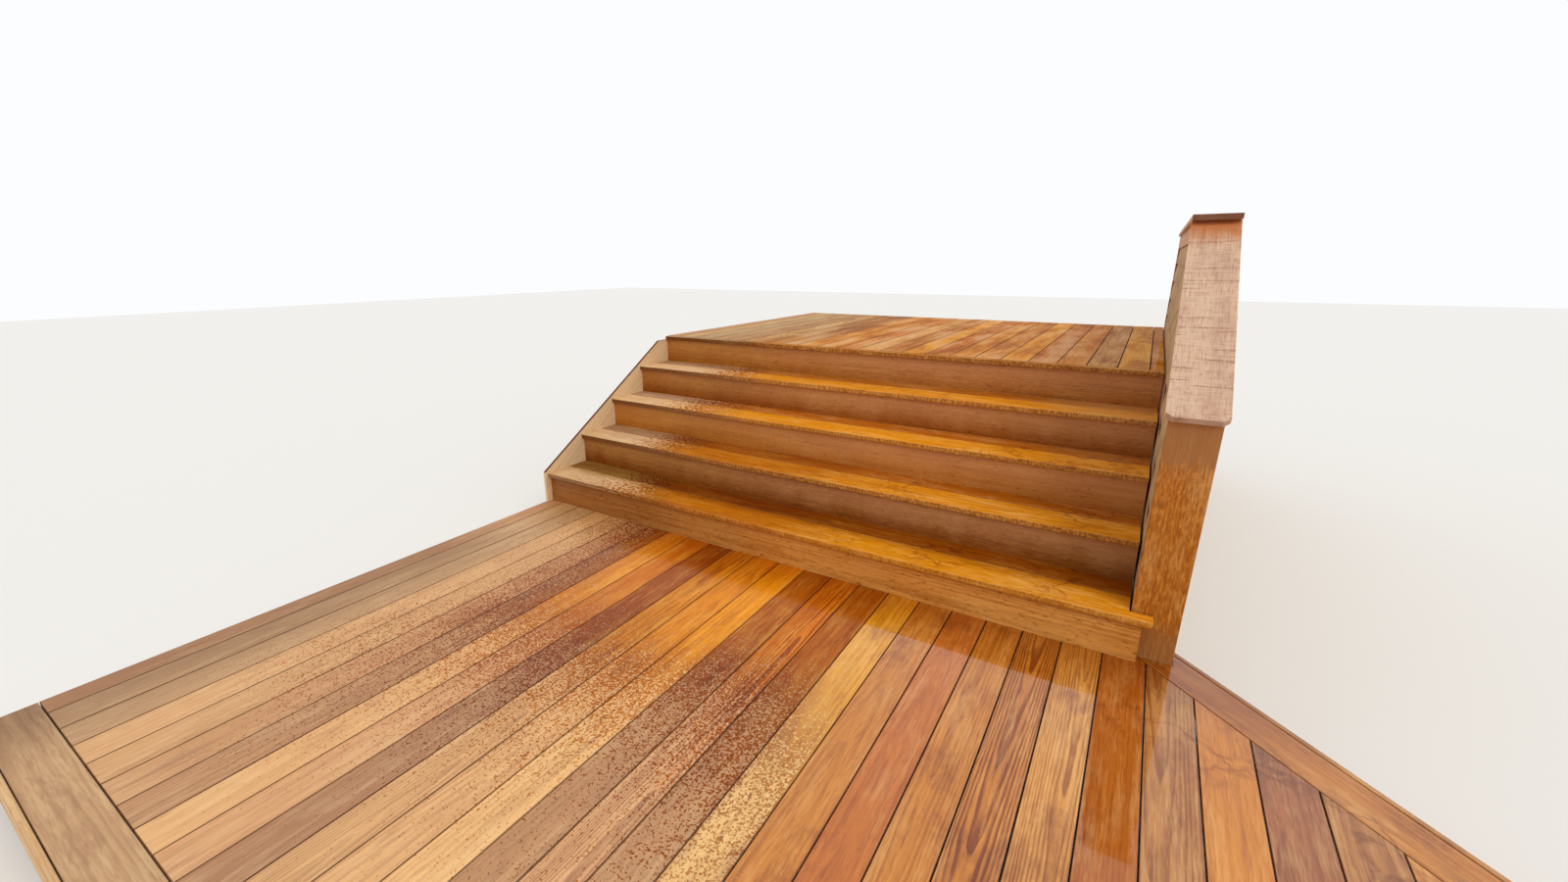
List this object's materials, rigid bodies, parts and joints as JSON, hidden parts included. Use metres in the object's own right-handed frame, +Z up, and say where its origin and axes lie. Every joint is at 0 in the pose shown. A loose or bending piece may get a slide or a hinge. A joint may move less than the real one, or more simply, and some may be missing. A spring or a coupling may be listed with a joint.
{
  "type": "wooden deck stairs",
  "caption": "Wide wooden flight with closed risers between a low deck with a diagonal bordered edge and a high deck, with a shingled cheek wall and parapet under plank caps.",
  "frame": {"origin": "centre of the bounding box in plan, at ground level", "axes": "+Z up; the flight climbs along +Y; +X is to the right of someone climbing it"},
  "size_m": [4.712, 6.169, 1.895],
  "materials": {
    "treads": "clear-oiled wood, wet and glossy",
    "risers": "clear-oiled wood, satin",
    "low_deck": "clear-oiled boards of mixed colour, wet",
    "high_deck": "clear-oiled boards, wet and glossy",
    "trim": "sawn boards, matt",
    "caps": "rough-sawn boards, matt and pale",
    "cladding": "sawn shingles, matt",
    "framing": "rough framing lumber, matt",
    "sheathing": "plywood, matt"
  },
  "bodies": {
    "root": {"tread_1": "treads", "tread_2": "treads", "tread_3": "treads", "tread_4": "treads", "high_deck_edge_strip": "treads", "riser_1": "risers", "riser_2": "risers", "riser_3": "risers", "riser_4": "risers", "riser_5": "risers", "low_deck_boards": "low_deck", "low_deck_border": "low_deck", "low_deck_fascia": "low_deck", "high_deck_boards": "high_deck", "left_skirt_board": "trim", "right_skirt_board": "trim", "frieze_inner": "trim", "frieze_outer": "trim", "wall_front_board": "trim", "wall_rear_board": "trim", "sloped_cap": "caps", "level_cap": "caps", "cladding_inner": "cladding", "cladding_outer": "cladding", "stringers": "framing", "kick_cleat": "framing", "hanger_board": "framing", "low_deck_rims": "framing", "low_deck_joists": "framing", "low_deck_posts": "framing", "high_deck_rims": "framing", "high_deck_ledgers": "framing", "high_deck_joists": "framing", "high_deck_posts": "framing", "wall_bottom_plate": "framing", "wall_studs": "framing", "wall_top_plates": "framing", "wall_sheathing_inner": "sheathing", "wall_sheathing_outer": "sheathing"}
  },
  "joints": []
}
